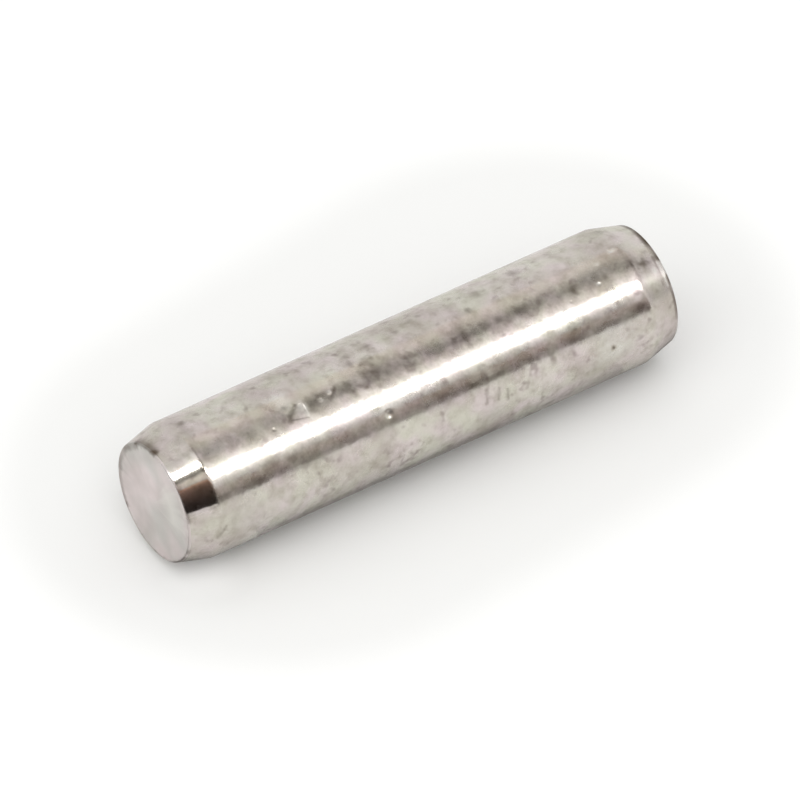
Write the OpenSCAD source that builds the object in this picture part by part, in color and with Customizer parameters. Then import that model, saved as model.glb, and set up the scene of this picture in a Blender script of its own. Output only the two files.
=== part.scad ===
// Dowel pin: a round steel pin that holds two machined parts in line. Its body is ground to size,
// a tapered lead at each end finds the hole, a rounded rim keeps each flat end face from catching,
// and a soft shoulder carries each lead into the body. It stands on its lower end face, with the
// centre of that face at the origin and its axis along +Z.

/* [Body] */
// Diameter of the ground body
pin_d = 6; // [4:0.5:12]
// Length over the two end faces
pin_l = 24; // [12:0.5:60]

/* [Leads] */
// Length of the tapered lead at each end, from the end face to the body
lead_l = 1.4; // [0.8:0.1:2.4]
// Angle between a lead and the pin's axis, in degrees
lead_angle = 15; // [10:1:25]

/* [Edges] */
// Radius of the rim where a lead turns into its end face
rim_r = 0.15; // [0.05:0.05:0.3]
// Radius of the shoulder where a lead turns into the body
shoulder_r = 0.6; // [0.2:0.1:0.8]

/* [Hidden] */

body_r = pin_d / 2;
// Radius of the sharp corner that a lead and its end face would make without a rim
face_r = body_r - lead_l * tan(lead_angle);
// How far in from that corner the rim's arc starts on the end face
rim_inset = rim_r * (1 - sin(lead_angle)) / cos(lead_angle);
// How far past the end of the lead the shoulder's arc ends on the body
shoulder_run = shoulder_r * tan(lead_angle / 2);
// Chords in each arc of the section, and facets in a full turn
arc_steps = 6;
turn_facets = 120;

// Points along an arc about a centre, between two angles in degrees
function arc(centre, r, from, to) = [
    for (step = [0 : arc_steps])
        let (angle = from + (to - from) * step / arc_steps)
        centre + r * [cos(angle), sin(angle)]
];

// Outline of the lower end from its face to the body: rim, straight lead, shoulder
function end_outline() = concat(
    arc([face_r - rim_inset, rim_r], rim_r, -90, -lead_angle),
    arc([body_r - shoulder_r, lead_l + shoulder_run], shoulder_r, -lead_angle, 0)
);

// The same outline turned over to the upper end, in the order that carries on up the pin
function turned_over(outline) = [
    for (i = [len(outline) - 1 : -1 : 0]) [outline[i].x, pin_l - outline[i].y]
];

// Half of the pin's lengthwise section, to the right of its axis
module half_section() {
    lower_end = end_outline();
    polygon(concat([[0, 0]], lower_end, turned_over(lower_end), [[0, pin_l]]));
}

// The pin, turned in one piece
module dowel_pin() {
    color("silver") rotate_extrude($fn = turn_facets) half_section();
}

dowel_pin();
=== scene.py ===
# %% [markdown]
# # A steel dowel pin
# A dowel pin is a short hardened steel rod that lines two parts up. It is turned to length, its ends
# get a slight taper so that it starts easily in its hole, and the middle is ground round to a few
# thousandths of a millimetre. This one has lain loose among others, so the ground skin is mottled,
# stained and nicked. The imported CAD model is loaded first. It fixes the size and the place of
# everything that follows. Its mesh has flat facets, so its box comes out a few microns under the true
# six millimetres across, and the pin drawn here keeps to that box.

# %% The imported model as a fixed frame
import math

import bmesh
import bpy
from mathutils import Matrix, Vector, noise


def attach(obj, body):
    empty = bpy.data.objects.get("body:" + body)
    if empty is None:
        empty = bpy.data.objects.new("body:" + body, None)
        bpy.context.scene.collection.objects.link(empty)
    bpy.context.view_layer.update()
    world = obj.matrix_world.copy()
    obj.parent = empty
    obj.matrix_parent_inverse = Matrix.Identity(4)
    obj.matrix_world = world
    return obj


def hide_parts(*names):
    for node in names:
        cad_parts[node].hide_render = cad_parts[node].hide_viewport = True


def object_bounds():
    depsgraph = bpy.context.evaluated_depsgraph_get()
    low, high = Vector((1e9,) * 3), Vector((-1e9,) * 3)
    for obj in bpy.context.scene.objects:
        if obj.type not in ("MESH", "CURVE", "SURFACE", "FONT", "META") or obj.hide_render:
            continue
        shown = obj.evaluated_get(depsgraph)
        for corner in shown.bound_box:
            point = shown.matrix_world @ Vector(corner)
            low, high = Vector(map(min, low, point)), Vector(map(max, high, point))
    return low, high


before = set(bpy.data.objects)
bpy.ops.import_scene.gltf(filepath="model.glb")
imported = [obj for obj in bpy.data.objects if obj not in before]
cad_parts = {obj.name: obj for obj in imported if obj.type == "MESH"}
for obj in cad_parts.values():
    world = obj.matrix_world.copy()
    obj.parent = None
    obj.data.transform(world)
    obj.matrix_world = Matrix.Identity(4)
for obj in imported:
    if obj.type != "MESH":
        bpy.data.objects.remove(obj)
cad_low, cad_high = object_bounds()
MM = 0.001
pin_length = cad_high.z - cad_low.z
body_radius = (cad_high.x - cad_low.x) / 2
pin_middle = Vector((0, 0, pin_length / 2))
print("pin", round(pin_length / MM, 3), "mm long and", round(2 * body_radius / MM, 3), "mm across")

# %% [markdown]
# The part stands on its end, but a pin that is looked at lies on the bench. Turning the pin would break
# its link with the CAD, so the bench is turned instead: `bench` is a set of axes with X to the right, Y
# to the back and Z up, in which the pin lies on its side. Camera, floor and lights are all placed in
# those axes.

# %% The bench that the pin is seen on
PIN_HEADING = math.radians(33.7)
along_pin = Vector((math.cos(PIN_HEADING), math.sin(PIN_HEADING), 0))
across_pin = Vector((math.sin(PIN_HEADING), -math.cos(PIN_HEADING), 0))
bench_up = Vector((0, 0, 1))
bench_turn = Matrix((-across_pin, -bench_up, -along_pin)).to_4x4()
bench = Matrix.Translation(pin_middle) @ bench_turn
bench_top = -body_radius
print("bench turn keeps handedness:", round(bench_turn.determinant(), 6))

# %% [markdown]
# Small helpers come next. Every object is made through one function, and every colour is written as the
# hex value a painter would pick on screen, then turned to the linear numbers that a renderer works in.
# One more function adds a shader node: what goes into a socket is either a value or the output of
# another node.


# %% Helpers for objects, colours and nodes
def new_object(name, data, place=None):
    made = bpy.data.objects.new(name, data)
    bpy.context.scene.collection.objects.link(made)
    if place is not None:
        made.matrix_world = place
    return made


def colour(hex_code):
    values = [int(hex_code[i:i + 2], 16) / 255 for i in (0, 2, 4)]
    linear = [v / 12.92 if v <= 0.04045 else ((v + 0.055) / 1.055) ** 2.4 for v in values]
    return (*linear, 1.0)


def new_material(name):
    made = bpy.data.materials.new(name)
    made.use_nodes = True
    made.node_tree.nodes.clear()
    return made


def add_node(tree, kind, sockets, **settings):
    node = tree.nodes.new(kind)
    for key, value in settings.items():
        setattr(node, key, value)
    for key, value in sockets.items():
        if isinstance(value, bpy.types.NodeSocket):
            tree.links.new(value, node.inputs[key])
        else:
            node.inputs[key].default_value = value
    return node


print("the screen's middle grey 808080 is", round(colour("808080")[0], 3), "in linear light")

# %% [markdown]
# The camera stands well back with a very long lens, as is usual for small parts, and looks down at the
# bench from a bit over forty degrees. A shorter lens from nearby would frame the pin just as well, but
# then the far end would look thinner than the near one. From far off the two edges stay almost
# parallel.

# %% Camera
CAMERA_HEIGHT = math.radians(42.1)
LENS = 1400.0
SENSOR = 36.0
FRAME_WIDTH = 32.65 * MM
AIM_RIGHT = 0.045 * MM
AIM_UP = -0.278 * MM
camera_distance = FRAME_WIDTH / SENSOR * LENS
camera_back = Vector((0, -math.cos(CAMERA_HEIGHT), math.sin(CAMERA_HEIGHT)))
camera_up = Vector((0, math.sin(CAMERA_HEIGHT), math.cos(CAMERA_HEIGHT)))
camera_data = bpy.data.cameras.new("camera")
camera_data.lens = LENS
camera_data.sensor_width = SENSOR
camera_data.clip_start = 0.01
camera_data.clip_end = 20
camera_spot = camera_back * camera_distance + Vector((AIM_RIGHT, 0, 0)) + camera_up * AIM_UP
camera_turn = Matrix.Rotation(math.pi / 2 - CAMERA_HEIGHT, 4, "X")
camera = new_object("camera", camera_data, bench @ Matrix.Translation(camera_spot) @ camera_turn)
bpy.context.scene.camera = camera
print("camera", round(camera_distance, 3), "m away, looks down by", round(math.degrees(CAMERA_HEIGHT), 1))

# %% [markdown]
# A metal shows its surroundings, so lighting it means building what it should mirror. The room is an
# even pale white. Two soft lights hang over the bench on the camera's side and shine on the steel
# alone. The right one draws the long streak on the ground body, and the left one, somewhat brighter,
# draws the short streak on the near taper. A third one lights the bench from the front left and isn't
# mirrored. Small lamps would draw streaks too, but only a wide light gives them the even width that a
# round bar shows. Sizes and places are given as they look from the pin, in steps of one for each step
# of height.

# %% Room and soft lights
WORLD_TONE = 0.86
ROOM_WHITE = "FFFFFE"
world = bpy.data.worlds.new("pale room")
bpy.context.scene.world = world
world.use_nodes = True
backdrop = world.node_tree.nodes["Background"]
backdrop.inputs["Color"].default_value = colour(ROOM_WHITE)
backdrop.inputs["Strength"].default_value = WORLD_TONE

LIGHT_HEIGHT = 0.5
FILL_HEIGHT = 0.6
TAPER_RADIANCE = 11.7
BODY_RADIANCE = 9.0
FILL_RADIANCE = 1.4


def soft_light(name, x_range, y_range, height, radiance):
    data = bpy.data.lights.new(name, "AREA")
    data.shape = "RECTANGLE"
    data.size = (x_range[1] - x_range[0]) * height
    data.size_y = (y_range[1] - y_range[0]) * height
    data.energy = radiance * math.pi * data.size * data.size_y
    spot = Vector((sum(x_range) / 2, sum(y_range) / 2, 1)) * height
    made = new_object(name, data, bench @ Matrix.Translation(spot))
    made.visible_camera = False
    print(name, round(data.size, 3), "by", round(data.size_y, 3), "m")
    return made


taper_light = soft_light("light on the near taper", (-0.25, 0.22), (-0.4, -0.235), LIGHT_HEIGHT,
                         TAPER_RADIANCE)
taper_light.visible_diffuse = False
body_light = soft_light("light on the body", (0.42, 1.3), (-0.5, -0.257), LIGHT_HEIGHT, BODY_RADIANCE)
body_light.visible_diffuse = False
fill_light = soft_light("fill from the front", (-1.25, 0.55), (-1.6, -0.2), FILL_HEIGHT, FILL_RADIANCE)
fill_light.visible_glossy = False

# %% [markdown]
# Between the lights hang paper cards that only the steel can see. Some are near black and draw the dark
# bands, and others fade from dark to light and give the streaks their soft edges. Painting the bands on
# the pin would be wrong, because they have to bend over the tapers and nicks as reflections do. A card
# is a row of points with a tone at each, pulled sideways into a sheet, and the tone blends evenly
# between points.


# %% Cards for the steel to mirror
WHITE_PAPER = "FFFFFF"


def card(name, points, sideways, tint=WHITE_PAPER):
    sheet = bmesh.new()
    tone = sheet.verts.layers.float.new("tone")
    tip = sheet.verts.new(points[0][0])
    tip[tone] = points[0][1]
    for spot, level in points[1:]:
        tip = bmesh.ops.extrude_vert_indiv(sheet, verts=[tip])["verts"][0]
        tip.co = spot
        tip[tone] = level
    pulled = bmesh.ops.extrude_edge_only(sheet, edges=sheet.edges[:])["geom"]
    moved = [part for part in pulled if isinstance(part, bmesh.types.BMVert)]
    bmesh.ops.translate(sheet, verts=moved, vec=sideways)
    mesh = bpy.data.meshes.new(name)
    sheet.to_mesh(mesh)
    sheet.free()
    paper = new_material(name)
    level = add_node(paper.node_tree, "ShaderNodeAttribute", {}, attribute_name="tone")
    glow = add_node(paper.node_tree, "ShaderNodeEmission",
                    {"Color": colour(tint), "Strength": level.outputs["Fac"]})
    add_node(paper.node_tree, "ShaderNodeOutputMaterial", {"Surface": glow.outputs[0]})
    mesh.materials.append(paper)
    made = new_object(name, mesh, bench)
    made.visible_camera = False
    made.visible_shadow = False
    made.visible_diffuse = False
    print(name, "fades over", len(points), "tones")


# %% [markdown]
# The wall cards stand on the camera's side, 0.8 m away, and each list gives heights in metres with
# their tones. The ground body mirrors the two on the right: a fawn one that is dark low down, and over
# it a white one that gets lighter towards the light. The near taper mirrors the two on the left: a
# brown one that is almost black low down, and over it a grey one. Flat cards are enough, since the pin
# shows them as bands.

# %% Wall cards
WALL = -0.8
BROWN_PAPER = "FFCFB4"
GREY_PAPER = "FFF8F2"
FAWN_PAPER = "FFDFCB"
body_dark = [(0.104, 0.085), (0.31, 0.095), (0.47, 0.22), (0.65, 0.28), (0.75, 0.35)]
body_fade = [(0.75, 0.28), (0.86, 0.42), (1.11, 0.88), (1.4, 1.2), (1.75, 2.0)]
taper_dark = [(0.104, 0.015), (0.3, 0.02), (0.45, 0.05), (0.64, 0.1), (0.82, 0.21), (0.95, 0.6)]
taper_fade = [(0.95, 0.55), (1.1, 0.85), (1.3, 0.88), (1.42, 0.5), (1.53, 0.22), (1.85, 0.4)]
BODY_SIDE = 0.93
BODY_SIDE_WIDTH = 2.3
TAPER_SIDE = -0.3
TAPER_SIDE_WIDTH = 1.2


def wall_card(name, start, fade, width, tint):
    card(name, [((start, WALL, z), level) for z, level in fade], (width, 0, 0), tint)


wall_card("card before the body", BODY_SIDE, body_dark, BODY_SIDE_WIDTH, FAWN_PAPER)
wall_card("card under the light", BODY_SIDE, body_fade, BODY_SIDE_WIDTH, WHITE_PAPER)
wall_card("card before the taper", TAPER_SIDE, taper_dark, TAPER_SIDE_WIDTH, BROWN_PAPER)
wall_card("card over the camera", TAPER_SIDE, taper_fade, TAPER_SIDE_WIDTH, GREY_PAPER)

# %% [markdown]
# The ceiling cards hang a metre up. The long one runs slantwise over the pin, and its dark middle
# becomes the dark band above the streak. A row of tones behind the taper light gives the short streak a
# soft upper edge, a grey strip between the two lights parts the two streaks at the near shoulder, and a
# bright card lifts the far taper. The last card stands upright far to the right and greys the far end.

# %% Ceiling cards
CEILING = 1.0
BAND_PAPER = "FFF8F1"
BAND_LENGTH = 1.35
BAND_BACK = 0.45
band_middle = Vector((0.40, 0.21, CEILING))
band_heading = Vector((0.75, 0.46, 0))
band_start = band_middle - BAND_BACK * band_heading
band_fade = [((0.24, -0.29), 0.66), ((0.2, -0.24), 0.55), ((0.12, -0.15), 0.4), ((0.05, -0.06), 0.17),
             ((-0.02, 0.03), 0.19), ((-0.08, 0.13), 0.35), ((-0.12, 0.21), 0.57), ((-0.18, 0.31), 0.8),
             ((-0.24, 0.44), 0.88), ((-0.3, 0.59), 0.9)]
card("slanting card overhead", [(band_start + Vector((x, y, 0)), level) for (x, y), level in band_fade],
     band_heading * BAND_LENGTH, BAND_PAPER)


def ceiling_card(name, start, fade, width, tint):
    card(name, [((start, y, CEILING), level) for y, level in fade], (width, 0, 0), tint)


edge_fade = [(-0.3, 2.3), (-0.22, 1.8), (-0.18, 1.45), (-0.14, 1.2), (-0.1, 1.05), (0.0, 0.9)]
gap_fade = [(-0.6, 0.35), (-0.1, 0.35)]
far_fade = [(0.08, 1.0), (0.26, 2.2), (0.45, 1.1)]
EDGE_WIDTH = 0.42
GAP_SIDE = 0.26
GAP_WIDTH = 0.22
FAR_SIDE = 1.6
FAR_WIDTH = 0.7
ceiling_card("edge of the taper light", TAPER_SIDE, edge_fade, EDGE_WIDTH, WHITE_PAPER)
ceiling_card("gap between the lights", GAP_SIDE, gap_fade, GAP_WIDTH, GREY_PAPER)
ceiling_card("glow on the far taper", FAR_SIDE, far_fade, FAR_WIDTH, WHITE_PAPER)
FAR_RIGHT = 3.0
FAR_RIGHT_FOOT = 0.2
FAR_RIGHT_TALL = 0.7
far_right_tones = [((FAR_RIGHT, y, FAR_RIGHT_FOOT), 0.6) for y in (-0.35, 0.1)]
card("grey card far right", far_right_tones, (0, 0, FAR_RIGHT_TALL))

# %% [markdown]
# The lower side of the pin mirrors the bench in front of it. The floor alone would leave that side too
# even, so a pale card lies there, just over the floor, in three pieces along the pin. It gets dark
# towards the pin like a deep shadow, and that draws the dark line along the bottom edge. The outer two
# pieces stay light until nearer to the pin, because the ends lie more open. A fourth card lies behind
# the pin. Each list gives millimetres from the pin's axis with their tones.

# %% Cards on the bench
middle_fade = [(1.0, 0.2), (1.8, 0.24), (2.5, 0.37), (3.2, 0.57), (3.9, 0.7), (4.6, 0.78), (6.6, 0.87),
               (10, 0.93), (20, 0.97), (400, 0.97)]
end_fade = [(1.0, 0.12), (1.6, 0.2), (2.0, 0.4), (2.5, 0.6), (3.2, 0.74), (3.9, 0.81), (6.6, 0.89),
            (10, 0.93), (20, 0.97), (400, 0.97)]
behind_fade = [(-400, 0.85), (-8, 0.85)]
BENCH_PAPER = "FFFEFB"
LOW_HEIGHT = bench_top + 0.05 * MM
NEAR_PIECE_FROM = -250 * MM
MIDDLE_PIECE_FROM = -8.0 * MM
FAR_PIECE_FROM = 10.0 * MM
FAR_PIECE_TO = 150 * MM
BEHIND_REACH = 200 * MM


def bench_card(name, fade, start, end):
    first = bench_up * LOW_HEIGHT + along_pin * start
    tones = [(first + across_pin * away * MM, level) for away, level in fade]
    card(name, tones, along_pin * (end - start), BENCH_PAPER)


bench_card("card on the bench by the near end", end_fade, NEAR_PIECE_FROM, MIDDLE_PIECE_FROM)
bench_card("card on the bench", middle_fade, MIDDLE_PIECE_FROM, FAR_PIECE_FROM)
bench_card("card on the bench by the far end", end_fade, FAR_PIECE_FROM, FAR_PIECE_TO)
bench_card("card behind the pin", behind_fade, -BEHIND_REACH, BEHIND_REACH)

# %% [markdown]
# The floor is a plain sheet of matt white paper with a pattern of glow, which is painted light. The glow
# is very slight near the pin and a little more beyond a long oval round it, so that the paper stays grey
# round the pin like a soft shadow and fades to pure white further out. One sheet with a pattern of glow
# does this better than lamps under the paper, which would light the pin too. A steel end face also
# throws some light back on the paper before it, which a renderer finds hard to gather, so a small soft
# spot of glow stands for it. The lower side is see-through, so that the pin can be looked at from below
# the bench.

# %% White paper
PAPER_COLOUR = "EAEAE9"
GLOW_BY_PIN = 0.01
GLOW_BEYOND = 0.11
OVAL_MIDDLE = -2.0 * MM
OVAL_AHEAD = 1.4 * MM
OVAL_TURN = math.radians(8)
OVAL_STRAIGHT = 6.9
OVAL_ROUND = 12.0
FADE_FROM = 0.8 * OVAL_ROUND
FADE_TO = 1.1 * OVAL_ROUND
BOUNCE_ALONG = -10.8 * MM
BOUNCE_AHEAD = 1.9 * MM
BOUNCE_REACH = 2.1 * MM
BOUNCE_GLOW = 0.125
white_paper = new_material("white paper")
tree = white_paper.node_tree
lit = add_node(tree, "ShaderNodeBsdfDiffuse", {"Color": colour(PAPER_COLOUR)})
on_sheet = add_node(tree, "ShaderNodeTexCoord", {})
oval_place = across_pin * OVAL_MIDDLE + along_pin * OVAL_AHEAD
turned_mm = add_node(tree, "ShaderNodeMapping", {
    "Vector": on_sheet.outputs["Object"], "Location": oval_place,
    "Rotation": (0, 0, PIN_HEADING + OVAL_TURN), "Scale": (MM, MM, MM)}, vector_type="TEXTURE")
folded = add_node(tree, "ShaderNodeVectorMath", {0: turned_mm.outputs[0]}, operation="ABSOLUTE")
past = add_node(tree, "ShaderNodeVectorMath", {0: folded.outputs[0], 1: (OVAL_STRAIGHT, 0, 0)},
                operation="SUBTRACT")
kept = add_node(tree, "ShaderNodeVectorMath", {0: past.outputs[0], 1: (0, 0, 0)}, operation="MAXIMUM")
reach = add_node(tree, "ShaderNodeVectorMath", {0: kept.outputs[0]}, operation="LENGTH")
strength = add_node(tree, "ShaderNodeMapRange", {
    "Value": reach.outputs["Value"], "From Min": FADE_FROM, "From Max": FADE_TO,
    "To Min": GLOW_BY_PIN, "To Max": GLOW_BEYOND}, interpolation_type="SMOOTHSTEP")
bounce_place = along_pin * BOUNCE_ALONG + across_pin * BOUNCE_AHEAD
from_bounce = add_node(tree, "ShaderNodeVectorMath", {0: on_sheet.outputs["Object"], 1: bounce_place},
                       operation="DISTANCE")
bounce = add_node(tree, "ShaderNodeMapRange", {
    "Value": from_bounce.outputs["Value"], "From Max": BOUNCE_REACH,
    "To Min": BOUNCE_GLOW, "To Max": 0.0}, interpolation_type="SMOOTHSTEP")
total = add_node(tree, "ShaderNodeMath", {0: strength.outputs["Result"], 1: bounce.outputs["Result"]})
glow = add_node(tree, "ShaderNodeEmission", {"Color": colour(WHITE_PAPER), "Strength": total.outputs[0]})
upper_side = add_node(tree, "ShaderNodeAddShader", {0: lit.outputs[0], 1: glow.outputs[0]})
lower_side = add_node(tree, "ShaderNodeBsdfTransparent", {})
facing = add_node(tree, "ShaderNodeNewGeometry", {})
sides = add_node(tree, "ShaderNodeMixShader",
                 {0: facing.outputs["Backfacing"], 1: upper_side.outputs[0], 2: lower_side.outputs[0]})
add_node(tree, "ShaderNodeOutputMaterial", {"Surface": sides.outputs[0]})
print("glow grows from", round(FADE_FROM, 1), "to", round(FADE_TO, 1), "mm off the oval's middle line")

# %% [markdown]
# The sheet itself is one square face, so wide that its border is never seen, because anything more would
# only add edges to hide. It lies as high as the lowest line of the pin, so the pin touches it. It belongs
# to the stage and not to the part.

# %% Floor
FLOOR_SIZE = 6.0
floor_shape = bmesh.new()
bmesh.ops.create_grid(floor_shape, x_segments=1, y_segments=1, size=FLOOR_SIZE / 2)
floor_mesh = bpy.data.meshes.new("floor")
floor_shape.to_mesh(floor_mesh)
floor_shape.free()
floor_mesh.materials.append(white_paper)
floor = new_object("floor", floor_mesh, bench @ Matrix.Translation((0, 0, bench_top)))
print("floor", FLOOR_SIZE, "m wide and", round(-bench_top / MM, 3), "mm below the axis of the pin")

# %% [markdown]
# The pin is a turned part, so it is modelled the way a lathe makes it: half of its outline is drawn as
# a line of points and spun once round the axis. A cylinder with its ends scaled in would do for a
# smooth pin. Here the points are close together all over, because the ground skin gets its fine waves
# and its nicks as real shape later on.

# %% Outline of the pin
LEAD_LENGTH = 1.4 * MM
LEAD_ANGLE = math.radians(15)
face_radius = body_radius - LEAD_LENGTH * math.tan(LEAD_ANGLE)
RIM_STRIP = 0.4 * MM
RINGS_ON_FACE = 3
RINGS_BY_RIM = 7
RINGS_ON_LEAD = 14
RINGS_ON_BODY = 232
STEPS_ROUND = 300
corners = [(0, 0), (face_radius - RIM_STRIP, 0), (face_radius, 0), (body_radius, LEAD_LENGTH),
           (body_radius, pin_length - LEAD_LENGTH), (face_radius, pin_length),
           (face_radius - RIM_STRIP, pin_length), (0, pin_length)]
rings = [RINGS_ON_FACE, RINGS_BY_RIM, RINGS_ON_LEAD, RINGS_ON_BODY,
         RINGS_ON_LEAD, RINGS_BY_RIM, RINGS_ON_FACE]

pin_shape = bmesh.new()
tip = pin_shape.verts.new((0, 0, 0))
for (x0, z0), (x1, z1), steps in zip(corners, corners[1:], rings):
    for k in range(1, steps + 1):
        tip = bmesh.ops.extrude_vert_indiv(pin_shape, verts=[tip])["verts"][0]
        tip.co = (x0 + (x1 - x0) * k / steps, 0, z0 + (z1 - z0) * k / steps)
print("outline of", len(pin_shape.verts), "points, end faces", round(2 * face_radius / MM, 3), "mm across")

# %% [markdown]
# One full turn of the outline makes the skin. The first and the last copy of the outline meet in one
# place, so the spin merges them, and the points that lie on the axis are merged into one at each pole.
# The faces are then turned to point outwards.

# %% Spin round the axis
MERGE_WITHIN = 0.001 * MM
bmesh.ops.spin(pin_shape, geom=pin_shape.verts[:] + pin_shape.edges[:], cent=(0, 0, 0), axis=(0, 0, 1),
               angle=2 * math.pi, steps=STEPS_ROUND, use_merge=True, use_duplicate=False)
bmesh.ops.remove_doubles(pin_shape, verts=pin_shape.verts, dist=MERGE_WITHIN)
bmesh.ops.recalc_face_normals(pin_shape, faces=pin_shape.faces)
print("spun into", len(pin_shape.faces), "faces")

# %% [markdown]
# Tumbling breaks the rim of each end face and rounds the shoulder where the taper meets the body. Arcs
# could be drawn in the outline instead, but a bevel of one ring of edges is easier to change. The width
# of the bevel that gives a certain radius follows from the turn between the two surfaces.

# %% Rims and shoulders
RIM_ROUND = 0.15 * MM
RIM_SEGMENTS = 6
SHOULDER_ROUND = 0.6 * MM
SHOULDER_SEGMENTS = 4
CLOSE = 0.002 * MM


def on_corner(point, radius, height):
    return abs(point.z - height) < CLOSE and abs(point.xy.length - radius) < CLOSE


def round_corner(radius, heights, rounding, turn, segments):
    edges = []
    for edge in pin_shape.edges:
        for height in heights:
            if all(on_corner(v.co, radius, height) for v in edge.verts):
                edges.append(edge)
    bmesh.ops.bevel(pin_shape, geom=edges, affect="EDGES", offset_type="OFFSET", segments=segments,
                    offset=rounding * math.tan(turn / 2), profile=0.5, material=-1, clamp_overlap=True)
    print("rounded", len(edges), "edges to", round(rounding / MM, 2), "mm")


round_corner(face_radius, (0, pin_length), RIM_ROUND, math.pi / 2 - LEAD_ANGLE, RIM_SEGMENTS)
round_corner(body_radius, (LEAD_LENGTH, pin_length - LEAD_LENGTH), SHOULDER_ROUND, LEAD_ANGLE,
             SHOULDER_SEGMENTS)
bmesh.ops.recalc_face_normals(pin_shape, faces=pin_shape.faces)

# %% [markdown]
# Hardened steel takes few dents, but other pins and grit leave small round dimples and a gouge. A bump
# in the material could fake them, but then the streak wouldn't break where it crosses their walls, so
# they are real shape. Each one is placed by its height up the pin and its turn round it, as on a skin
# that is unrolled flat; past the rims the height goes on over the end face. The mesh is cut finer
# around each mark, so that its walls look smooth.

# %% Where the nicks are
# name, height in mm, turn in degrees, radius in mm, depth in mm
DIMPLES = [("round dimple", 14.09, 215.6, 0.24, 0.036),
           ("dot near the taper", 19.06, 241.2, 0.12, 0.012),
           ("first dot", 16.58, 247.9, 0.15, 0.017),
           ("second dot", 16.08, 250.8, 0.14, 0.018),
           ("shallow hollow", 18.19, 252.2, 0.22, 0.012),
           ("facet of the gouge", 17.52, 248.6, 0.26, 0.024),
           ("far dot", 3.11, 241.4, 0.12, 0.012),
           ("far dot above", 1.84, 263.8, 0.13, 0.012),
           ("far dot by the streak", 4.61, 237.6, 0.10, 0.006)]
GOUGE = [(17.30, 253.2), (17.34, 238.0), (18.24, 241.6), (17.56, 253.2)]
GOUGE_DEPTH = 0.007
GOUGE_WALL = 0.06
GOUGE_REACH = 0.65
DIMPLE_MARGIN = 1.5
FINER = 2


def unrolled(point):
    turn = math.atan2(point.y, point.x) % (2 * math.pi)
    past_rim = max(0.0, face_radius - point.xy.length)
    height = point.z + past_rim if point.z > pin_middle.z else point.z - past_rim
    return Vector((height, turn * body_radius)) / MM


def unrolled_place(height, turn):
    return Vector((height, math.radians(turn) * body_radius / MM))


gouge_corners = [unrolled_place(height, turn) for height, turn in GOUGE]
gouge_middle = sum(gouge_corners, Vector((0, 0))) / len(gouge_corners)
marked = [(unrolled_place(height, turn), DIMPLE_MARGIN * radius)
          for name, height, turn, radius, depth in DIMPLES]
marked.append((gouge_middle, GOUGE_REACH))
for spot, reach in marked:
    near = [e for e in pin_shape.edges if all((unrolled(v.co) - spot).length < reach for v in e.verts)]
    bmesh.ops.subdivide_edges(pin_shape, edges=near, cuts=FINER, use_grid_fill=True)
print("mesh made finer round", len(marked), "marks:", len(pin_shape.faces), "faces")

# %% [markdown]
# A dimple is a smooth round hollow that is deepest in its middle. The gouge is a shallow hollow with
# four corners, a flat floor and soft walls. Each function says how far the skin is set back at a place
# on it, and smooth steps are used because a sharp wall would need far more faces.


# %% Depth of the nicks
def dimple_depth(place):
    depth_here = 0.0
    for name, height, turn, radius, depth in DIMPLES:
        away = (place - unrolled_place(height, turn)).length / radius
        if away < 1:
            depth_here -= depth * (1 - away * away) ** 2
    return depth_here


def gouge_depth(place):
    inside = math.inf
    for start, end in zip(gouge_corners, gouge_corners[1:] + gouge_corners[:1]):
        side = end - start
        inside = min(inside, (side.x * (place.y - start.y) - side.y * (place.x - start.x)) / side.length)
    step = min(max(inside / GOUGE_WALL, 0.0), 1.0)
    return -GOUGE_DEPTH * step * step * (3 - 2 * step)


deepest = min(dimple_depth(unrolled_place(height, turn)) for name, height, turn, radius, depth in DIMPLES)
print("deepest dimple", -deepest, "mm and gouge", -gouge_depth(gouge_middle), "mm")

# %% [markdown]
# Centreless grinding leaves a very slightly wavy skin, a micron or two high. It is far too low to feel,
# but it makes the edges of a reflected light waver, which is what tells the eye that the pin is ground
# steel and not glass. The waves are worked into the points of the mesh together with the nicks. The
# skin is first set back by a hair, so that no wave stands proud of the pin's true size.

# %% Waves of the ground skin
WAVE_HEIGHT = 0.0016 * MM
WAVE_LENGTH = 0.55 * MM
WAVE_FALL = 0.6
FINER_EACH_TIME = 2.1
WAVE_LAYERS = 3
SKIN_SINK = 0.002 * MM
SHOULDER_REACH = 0.1 * MM
body_start = LEAD_LENGTH + SHOULDER_REACH
body_end = pin_length - LEAD_LENGTH - SHOULDER_REACH
for v in pin_shape.verts:
    outward = Vector((v.co.x, v.co.y, 0))
    if outward.length < face_radius - RIM_STRIP:
        continue
    if body_start < v.co.z < body_end:
        v.co.x *= body_radius / outward.length
        v.co.y *= body_radius / outward.length
    outward.normalize()
    place = unrolled(v.co)
    nick = (dimple_depth(place) + gouge_depth(place)) * MM
    wave = WAVE_HEIGHT * noise.fractal(v.co / WAVE_LENGTH, WAVE_FALL, FINER_EACH_TIME, WAVE_LAYERS)
    v.co += outward * (wave + nick - SKIN_SINK)
print("skin worked on", len(pin_shape.verts), "points")
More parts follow.
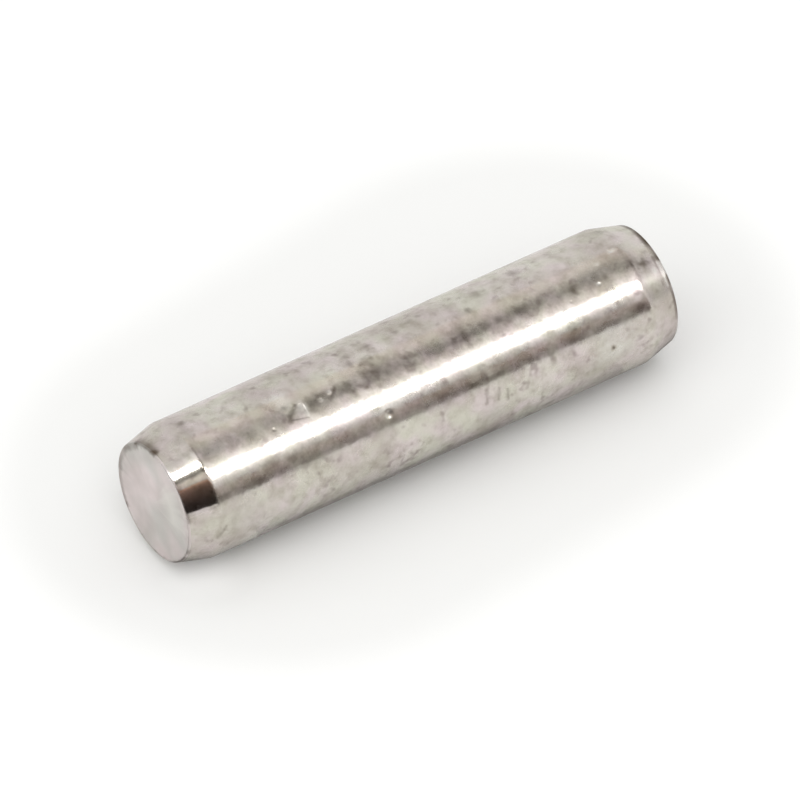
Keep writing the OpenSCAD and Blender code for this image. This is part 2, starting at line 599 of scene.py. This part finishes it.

# %% [markdown]
# Old cutting oil and handling leave brown stains that follow no pattern, and a rub leaves a clean pale
# spot. The same lists also hold painted light: painted highlights in the dimples and by the far rim, and
# painted shade along the bottom edge, by the far rim and at the near shoulder. Noise alone could scatter
# them, but each has its own place here, so they are painted one by one on the points of the mesh: above
# zero is brown stains and painted shade, below zero is bare metal and painted highlights. There are oval
# patches and drawn-out lines, and noise breaks up their edges, because stains dry in tongues.

# %% Stains, rubbed spots and painted light
# name, height in mm, turn in degrees, half height and half width in mm, strength
PATCHES = [("cloud over the streak", 13.6, 253, 1.1, 0.65, 0.4),
           ("core of the cloud", 13.9, 262, 0.3, 0.3, 0.3),
           ("second cloud", 9.6, 252, 0.45, 0.55, 0.45),
           ("dot in the upper side", 8.7, 268, 0.16, 0.18, 0.6),
           ("dot over the streak", 12.2, 245, 0.22, 0.2, 0.35),
           ("film along the band", 13.2, 246, 1.4, 0.5, 0.15),
           ("pale under the streak", 13.8, 221, 0.9, 0.25, -0.5),
           ("dark edge of the lower band", 10.1, 209, 0.34, 0.16, 0.65),
           ("second dark edge", 9.2, 209, 0.3, 0.16, 0.6),
           ("third dark edge", 8.7, 209.4, 0.26, 0.14, 0.5),
           ("clump on the upper side", 7.8, 281, 0.4, 0.3, 0.4),
           ("dot by the clump", 8.51, 285.8, 0.13, 0.13, 0.4),
           ("first cloud over the far half", 9.4, 247, 0.24, 0.2, 0.35),
           ("next cloud over the far half", 8.56, 248, 0.26, 0.2, 0.4),
           ("third cloud over the far half", 7.84, 248, 0.26, 0.2, 0.4),
           ("last cloud over the far half", 6.83, 249, 0.34, 0.24, 0.5),
           ("pale spot in the band", 8.81, 240.6, 0.2, 0.14, -0.5),
           ("next pale spot in the band", 7.19, 241, 0.2, 0.14, -0.5),
           ("upper freckle", 10.55, 286.7, 0.15, 0.15, 0.35),
           ("next upper freckle", 11.08, 284, 0.13, 0.13, 0.35),
           ("long upper freckle", 11.9, 279, 0.22, 0.14, 0.35),
           ("brown upper freckle", 13.39, 277, 0.18, 0.16, 0.4),
           # painted shade: dark blobs along the bottom edge, where the pin mirrors the shadow under it
           ("bottom blob", 8.39, 150, 0.25, 0.25, 0.4),
           ("next bottom blob", 7.15, 146, 0.3, 0.25, 0.45),
           ("last bottom blob", 6.48, 153, 0.25, 0.2, 0.4),
           # painted highlight: a white patch where the streak meets the far rim
           ("white by the far rim", 0.53, 234, 0.13, 0.16, -1.0),
           ("dark end of the smudge", 23.86, 272, 0.15, 0.22, 0.35),
           ("brown by the dots", 16.95, 248.5, 0.45, 0.34, 0.42),
           # painted highlight: a bare pale spot inside the first dot
           ("light in the first dot", 16.58, 247.2, 0.15, 0.12, -0.8),
           ("over the first dot", 16.4, 252.2, 0.28, 0.16, 0.4),
           # painted highlight: a bare pale spot inside the second dot
           ("light in the second dot", 16.08, 250.4, 0.12, 0.14, -1.0),
           ("right of the dots", 15.55, 249.7, 0.4, 0.28, 0.42),
           ("further right of the dots", 15.1, 248.2, 0.35, 0.25, 0.38),
           ("pale over the gouge", 16.98, 263.6, 0.35, 0.3, -0.3),
           ("pale floor of the gouge", 17.53, 248.6, 0.22, 0.24, -0.9),
           ("rubbed spot", 18.08, 260.5, 0.48, 0.5, -0.95),
           ("olive specks", 14.45, 276, 0.17, 0.18, 0.35),
           ("more olive specks", 14.56, 267, 0.2, 0.22, 0.35),
           ("upper scratch", 9.3, 280, 0.12, 0.7, 0.18),
           ("upper dot", 5.8, 287, 0.28, 0.3, 0.5),
           ("nick in the streak", 14.62, 223.0, 0.3, 0.12, 0.5),
           ("blot on the far shoulder", 1.3, 247.5, 0.3, 0.34, 0.4),
           ("blot on the far taper", 1.0, 243.4, 0.34, 0.22, 0.55),
           ("film on the far taper", 0.76, 240.5, 0.3, 0.4, 0.35),
           ("pale square", 1.76, 263.4, 0.2, 0.12, -0.9),
           ("pale spot", 2.68, 257.4, 0.13, 0.11, -0.6),
           # painted highlight: a bare white spot inside the far dot
           ("white tip", 3.14, 242.1, 0.11, 0.1, -1.0),
           ("dark beside the tip", 2.73, 244.6, 0.14, 0.12, 0.5),
           ("grey at the far top", 1.41, 291, 0.3, 0.25, 0.35),
           ("square at the far end", 1.82, 211.5, 0.34, 0.22, 0.58),
           ("small far dot", 3.43, 188.3, 0.13, 0.14, 1.5),
           ("pale by the far end", 3.3, 255, 1.1, 0.5, -0.5),
           ("clean by the far end", 3.3, 205, 1.1, 1.0, -0.5),
           ("clean lower band", 9.8, 212, 1.5, 0.35, -0.35),
           ("grey lower band", 15.4, 213, 0.7, 0.35, 0.2),
           ("far cloud left", 4.2, 248, 0.4, 0.3, 0.55),
           ("olive by the near shoulder", 22.31, 287, 0.28, 0.4, 0.2),
           ("clean by the near taper", 21.3, 188, 1.1, 1.2, -0.3),
           ("cloud under the film", 14.5, 245, 0.5, 0.35, 0.38),
           ("cloud between the two", 10.1, 245, 0.3, 0.3, 0.4),
           ("brown over the lower band", 18.8, 215.5, 0.45, 0.25, 0.45),
           ("pale under the ticks", 9.25, 175, 0.5, 0.5, -0.4),
           ("brown by the near shoulder", 22.2, 209, 0.4, 0.22, 0.4),
           ("grey on the near taper", 22.8, 267, 0.3, 0.35, 0.2),
           ("film by the start of the streak", 21.0, 242, 0.45, 0.2, 0.35),
           ("dark beside the square", 1.45, 260, 0.22, 0.3, 0.3),
           ("dark between pale spots", 7.55, 243.5, 0.26, 0.18, 0.35),
           ("dark over the streak", 9.2, 239.3, 0.38, 0.14, 0.5),
           ("pale in the lower band", 12.2, 214, 0.35, 0.3, -0.7),
           ("film over the streak", 12.3, 242, 0.4, 0.18, 0.3),
           ("edge of the far cloud", 4.35, 242.5, 0.35, 0.2, 0.35),
           ("clean lower side by the far end", 3.3, 184, 1.2, 0.5, -0.5),
           ("grey under the streak", 11.5, 204, 0.5, 0.25, 0.2),
           ("pale over the far half", 5.5, 258, 0.7, 0.35, -0.35),
           ("pale by the near shoulder", 21.85, 245, 0.5, 0.2, -0.35),
           ("tick at the bottom", 23.95, 162, 0.12, 0.22, 0.5)]
# name, height and turn where it starts and where it ends, half width in mm, strength
LINES = [("smudge along the near rim", 23.88, 300, 23.86, 271, 0.2, 0.6),
         ("near shoulder", 22.2, 283, 22.55, 254, 0.22, 0.32),
         # painted shade in the next two lines: a dark line at the near shoulder between the two streaks,
         # and a darker near rim beside the taper streak
         ("between the two lights", 22.68, 243, 22.7, 235, 0.09, 0.55),
         ("near rim beside the light", 23.9, 237, 23.86, 227, 0.09, 0.5),
         ("near rim below", 23.92, 212, 23.92, 197, 0.07, 0.6),
         ("curve under the near shoulder", 22.4, 184, 22.8, 174, 0.09, 0.35),
         ("near rim, upper left", 24.12, 300, 24.14, 360, 0.2, 0.42),
         ("near rim, left", 24.14, 0, 24.1, 38, 0.18, 0.36),
         ("near rim, lower left", 24.06, 38, 24.04, 92, 0.12, 0.3),
         ("near rim, bottom", 24.02, 92, 23.98, 150, 0.1, 0.45),
         ("left side of the gouge", 17.66, 253.2, 18.25, 242.0, 0.15, 0.5),
         ("right side of the gouge", 17.25, 249.9, 17.4, 240.5, 0.08, -0.6),
         ("bend by the second dot", 15.81, 251.8, 16.2, 244.4, 0.11, 0.45),
         ("left tick", 9.57, 200, 9.66, 189, 0.08, 0.45),
         ("middle tick", 9.01, 197.5, 9.07, 188, 0.08, 0.45),
         ("right tick", 8.6, 194, 8.65, 184.5, 0.08, 0.45),
         # painted shade: a dark strip along the bottom edge, where the pin mirrors the shadow under it
         ("painted shade along the bottom", 9.0, 150, 19.6, 149, 0.4, 0.4),
         # painted highlight and painted shade: a bright arc and a dark arc by the far rim
         ("bright arc by the far rim", 0.19, 240, 0.22, 217, 0.06, -0.8),
         ("dark arc by the far rim", 0.32, 246, 0.36, 220, 0.06, 0.5),
         ("far rim, upper", 0.09, 305, 0.09, 243, 0.17, 0.85),
         ("far rim, lower", 0.06, 226, 0.06, 184, 0.11, 0.65),
         ("pale side of the near face", 25.1, 225, 25.0, 182, 0.8, -0.6),
         ("film on the near face, above", 24.9, 320, 24.9, 360, 0.8, 0.08),
         ("film on the near face, below", 24.9, 0, 24.9, 90, 0.8, 0.08)]
print(len(PATCHES), "patches and", len(LINES), "lines to paint")

# %% [markdown]
# Each point of the mesh adds up the patches and lines that reach it. A patch covers fully in its middle
# and falls off to nothing at its edge. One fine noise makes that edge ragged, and a coarser one makes
# the stains and the painted shade thick and thin. Paint on the points follows the skin everywhere and
# needs no unwrapping.


# %% Painting the stains and the painted light
EDGE_BREAK = 0.45
EDGE_GRAIN = 0.22 * MM
EDGE_FALL = 0.6
EDGE_LAYERS = 2
FILM_BREAK = 0.6
FILM_GRAIN = 0.45 * MM
FILM_FALL = 0.7
FILM_LAYERS = 1
SPREAD = 2
PATCH_REACH = 2


def patch_cover(away, half_height, half_width, rough):
    distance = math.hypot(away.x / half_height, away.y / half_width) * rough
    return max(0.0, 1 - distance * distance / SPREAD) ** 2


patches = [(unrolled_place(height, turn), high, wide, strength)
           for name, height, turn, high, wide, strength in PATCHES]
lines = [(unrolled_place(z0, turn0), unrolled_place(z1, turn1), half, strength)
         for name, z0, turn0, z1, turn1, half, strength in LINES]
stain_and_light_layer = pin_shape.verts.layers.float.new("stain_and_painted_light")
for v in pin_shape.verts:
    place = unrolled(v.co)
    rough = 1 + EDGE_BREAK * noise.fractal(v.co / EDGE_GRAIN, EDGE_FALL, FINER_EACH_TIME, EDGE_LAYERS)
    total = 0.0
    for middle, high, wide, strength in patches:
        if abs(place.x - middle.x) < PATCH_REACH * high:
            total += strength * patch_cover(place - middle, high, wide, rough)
    for start, end, half, strength in lines:
        margin = PATCH_REACH * half
        if min(start.x, end.x) - margin < place.x < max(start.x, end.x) + margin:
            run = end - start
            share = min(max((place - start).dot(run) / run.length_squared, 0.0), 1.0)
            total += strength * patch_cover(place - start - run * share, half, half, rough)
    if total > 0:
        thin = FILM_BREAK * noise.fractal(v.co / FILM_GRAIN, FILM_FALL, FINER_EACH_TIME, FILM_LAYERS)
        total *= max(0.0, 1 + thin)
    v[stain_and_light_layer] = max(-1.0, min(1.0, total))
covered = sum(1 for v in pin_shape.verts if abs(v[stain_and_light_layer]) > 0.1)
print("paint shows on", covered, "of", len(pin_shape.verts), "points")

# %% [markdown]
# Part of the near taper has kept the bright skin of its last fine cut, while the rest has gone as dull
# as the body. A third material would give it a hard border that follows the mesh, so a number on each
# point says how bright the skin is: one in the middle of that field, and falling to nothing over its
# soft edge, which is twice as soft at the sides.

# %% Bright field on the near taper
BRIGHT_MIDDLE = unrolled_place(23.29, 229)
BRIGHT_HALF_HEIGHT = 0.69
BRIGHT_HALF_WIDTH = 1.42
BRIGHT_EDGE = 0.16
SIDE_SOFTNESS = 2
bright_layer = pin_shape.verts.layers.float.new("bright")
for v in pin_shape.verts:
    away = unrolled(v.co) - BRIGHT_MIDDLE
    outside = max(abs(away.x) - BRIGHT_HALF_HEIGHT, (abs(away.y) - BRIGHT_HALF_WIDTH) / SIDE_SOFTNESS)
    v[bright_layer] = min(max(0.5 - outside / BRIGHT_EDGE, 0.0), 1.0)
print("bright field", 2 * BRIGHT_HALF_HEIGHT, "mm high and", 2 * BRIGHT_HALF_WIDTH, "mm wide")

# %% [markdown]
# Two finishes meet on this pin. The body and the tapers are ground, and the end faces with their rims
# are faced with a flat tool. The border between the two is crisp on the real pin, so each face of the
# mesh is simply given the finish of its zone.

# %% Zones of the two finishes
GROUND, FACED = 0, 1
FACED_UP_TO = 0.13 * MM
for face in pin_shape.faces:
    face.smooth = True
    middle = face.calc_center_median()
    end_distance = min(middle.z, pin_length - middle.z)
    if end_distance < FACED_UP_TO:
        face.material_index = FACED
    else:
        face.material_index = GROUND
faced = sum(1 for face in pin_shape.faces if face.material_index == FACED)
print(faced, "faces are faced steel and", len(pin_shape.faces) - faced, "are ground steel")

# %% [markdown]
# The shape is now written into a mesh, and the mesh gets its object. That object sits at the origin,
# unturned and unscaled, because the pin's place is already in its points, and the patterns of its
# finishes are measured from that same origin.

# %% The pin as an object
bmesh.ops.recalc_face_normals(pin_shape, faces=pin_shape.faces)
triangles = sum(len(face.verts) - 2 for face in pin_shape.faces)
pin_mesh = bpy.data.meshes.new("dowel_pin_steel")
pin_shape.to_mesh(pin_mesh)
pin_shape.free()
pin = new_object("dowel_pin_steel", pin_mesh)
print("pin mesh", len(pin_mesh.vertices), "points and", triangles, "triangles")

# %% [markdown]
# Plain hardened steel is a warm light grey, and on this pin a thin film of old oil clouds it in olive,
# grey and brown. The clouds have no drawing, so they are noise, in layers that go from wide soft clouds
# to small flecks. Scales are in clouds per millimetre. Each layer is laid over the ones before it, as
# glazes are.


# %% Film on the steel
STEEL_COLOUR = "E0D6D5"
CLOUD_ROUGHNESS = 0.6
CLOUD_SHIFT = 3.7


def filmed_colour(tree, mm, layers):
    base = colour(STEEL_COLOUR)
    for number, (per_mm, detail, low, high, cover, tone) in enumerate(layers):
        cloud = add_node(tree, "ShaderNodeTexNoise", noise_dimensions="4D", sockets={
            "Vector": mm, "W": CLOUD_SHIFT * number, "Scale": per_mm, "Detail": detail,
            "Roughness": CLOUD_ROUGHNESS})
        amount = add_node(tree, "ShaderNodeMapRange", {
            "Value": cloud.outputs["Fac"], "From Min": low, "From Max": high, "To Max": cover})
        base = add_node(tree, "ShaderNodeMix", {0: amount.outputs[0], 6: base, 7: colour(tone)},
                        data_type="RGBA").outputs[2]
    return base


# %% [markdown]
# The stains, rubbed spots and painted light that were painted on the points are mixed in next. All sit
# in one attribute: its part above zero brings the brown of dried oil and of painted shade, and its part
# below zero brings bare bright steel and painted highlights.


# %% Stains and painted light on the steel
STAIN_AND_SHADE_COLOUR = "5E5246"
BARE_AND_HIGHLIGHT_COLOUR = "E4E2DC"


def stain_and_light_colour(tree, base):
    painted = add_node(tree, "ShaderNodeAttribute", {}, attribute_name="stain_and_painted_light")
    stain_and_shade_share = add_node(tree, "ShaderNodeMapRange", {"Value": painted.outputs["Fac"]})
    base = add_node(tree, "ShaderNodeMix", {0: stain_and_shade_share.outputs[0], 6: base, 7: colour(STAIN_AND_SHADE_COLOUR)},
                    data_type="RGBA").outputs[2]
    # below zero: bare steel where rubbed, and painted highlights
    rubbed = add_node(tree, "ShaderNodeMapRange", {"Value": painted.outputs["Fac"], "From Max": -1.0})
    return add_node(tree, "ShaderNodeMix", {0: rubbed.outputs[0], 6: base, 7: colour(BARE_AND_HIGHLIGHT_COLOUR)},
                    data_type="RGBA").outputs[2]


# %% [markdown]
# Two kinds of relief are too fine for the mesh and go into the shader. A low swell, about 0.4 mm from
# crest to crest, breaks up the edge of the streak. Over it lie the wheel's marks, which run round the
# pin. Real ones are some hundredths of a millimetre apart, too fine to show from here, so they are
# drawn coarser, about a ninth of a millimetre apart.


# %% Relief of the skin
SWELL_PER_MM = 2.6
SWELL_DETAIL = 2.5
MARKS_PER_MM = (0.5, 0.5, 9.0)


def skin_relief(tree, mm, ripple, marks_height):
    swell = add_node(tree, "ShaderNodeTexNoise", {
        "Vector": mm, "Scale": SWELL_PER_MM, "Detail": SWELL_DETAIL})
    swell_relief = add_node(tree, "ShaderNodeBump", {"Height": swell.outputs["Fac"], "Distance": ripple})
    round_mm = add_node(tree, "ShaderNodeMapping", {"Vector": mm, "Scale": MARKS_PER_MM})
    marks = add_node(tree, "ShaderNodeTexNoise", {
        "Vector": round_mm.outputs[0], "Scale": 1.0, "Detail": 1.0})
    relief = add_node(tree, "ShaderNodeBump", {
        "Height": marks.outputs["Fac"], "Distance": marks_height, "Normal": swell_relief.outputs[0]})
    return relief.outputs[0]


# %% [markdown]
# What the eye reads as "ground" is a mix of two reflections: a crisp one from the flats that the wheel
# left and a soft one from the torn grain between them. One shader of middle roughness would blur the
# streak as a whole. So each finish is two metal shaders, one smooth and one dull, and a cloudy pattern
# says how much of each shows. Where the skin has stayed bright the dull share all but goes.


# %% Steel finishes
HAZE_PER_MM = 0.9
HAZE_DETAIL = 4.0
HAZE_FROM = 0.32
HAZE_TO = 0.68
BRIGHT_HAZE = 0.03
BRIGHT_ROUGHNESS = 0.09
BRIGHT_RIPPLE = 1.5e-6


def steel_finish(name, layers, least_haze, most_haze, polished, dull, ripple, marks_height):
    made = new_material(name)
    tree = made.node_tree
    place = add_node(tree, "ShaderNodeTexCoord", {})
    scaled = add_node(tree, "ShaderNodeMapping", {
        "Vector": place.outputs["Object"], "Scale": (1 / MM, 1 / MM, 1 / MM)})
    mm = scaled.outputs[0]
    bright = add_node(tree, "ShaderNodeAttribute", {}, attribute_name="bright").outputs["Fac"]
    hazy = add_node(tree, "ShaderNodeTexNoise", {
        "Vector": mm, "Scale": HAZE_PER_MM, "Detail": HAZE_DETAIL, "Roughness": CLOUD_ROUGHNESS})
    clouded = add_node(tree, "ShaderNodeMapRange", {
        "Value": hazy.outputs["Fac"], "From Min": HAZE_FROM, "From Max": HAZE_TO,
        "To Min": least_haze, "To Max": most_haze})
    share = add_node(tree, "ShaderNodeMapRange", {
        "Value": bright, "To Min": clouded.outputs[0], "To Max": BRIGHT_HAZE})
    sheen = add_node(tree, "ShaderNodeMapRange", {
        "Value": bright, "To Min": polished, "To Max": BRIGHT_ROUGHNESS})
    waviness = add_node(tree, "ShaderNodeMapRange", {
        "Value": bright, "To Min": ripple, "To Max": BRIGHT_RIPPLE})
    relief = skin_relief(tree, mm, waviness.outputs[0], marks_height)
    base = stain_and_light_colour(tree, filmed_colour(tree, mm, layers))
    crisp = add_node(tree, "ShaderNodeBsdfPrincipled", {
        "Base Color": base, "Normal": relief, "Metallic": 1.0, "Roughness": sheen.outputs[0]})
    soft = add_node(tree, "ShaderNodeBsdfPrincipled", {
        "Base Color": base, "Normal": relief, "Metallic": 1.0, "Roughness": dull})
    mixed = add_node(tree, "ShaderNodeMixShader", {
        0: share.outputs[0], 1: crisp.outputs[0], 2: soft.outputs[0]})
    add_node(tree, "ShaderNodeOutputMaterial", {"Surface": mixed.outputs[0]})
    return made


# %% [markdown]
# Ground steel is hardened steel that a fine wheel has finished: fairly crisp, with hazy clouds, and
# fully mottled by the film. Faced steel is the same metal cut flat by a tool: duller and more even, so
# an end face looks like brushed silver and mirrors no edges.

# %% Ground and faced steel
# layers: clouds per mm, detail, noise level where a cloud begins and where it is full, cover, colour
ground_layers = [(0.9, 1.0, 0.36, 0.64, 1.0, "D9D7CB"),
                 (0.4, 4.0, 0.40, 0.72, 0.7, "AAA097"),
                 (2.0, 2.0, 0.46, 0.80, 0.55, "918979"),
                 (2.2, 1.0, 0.60, 0.76, 0.5, "796866")]
faced_layers = [(0.42, 1.0, 0.60, 0.40, 1.0, "CDCBC7"),
                (0.9, 2.0, 0.25, 0.75, 0.45, "AAA19C")]
ground_steel = steel_finish("ground steel", ground_layers, least_haze=0.12, most_haze=0.62,
                            polished=0.16, dull=0.5, ripple=5e-6, marks_height=0.8e-6)
faced_steel = steel_finish("faced steel", faced_layers, least_haze=0.3, most_haze=0.6,
                           polished=0.36, dull=0.5, ripple=1e-6, marks_height=0.2e-6)
for steel in (ground_steel, faced_steel):
    pin_mesh.materials.append(steel)
    print(steel.name, "has", len(steel.node_tree.nodes), "nodes")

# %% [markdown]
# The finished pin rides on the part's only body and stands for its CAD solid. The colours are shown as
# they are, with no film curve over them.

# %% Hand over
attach(pin, "root")
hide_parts("dowel_pin")
bpy.context.scene.view_settings.view_transform = "Standard"
print("pin handed over as", pin.name, "with", len(pin_mesh.materials), "finishes")
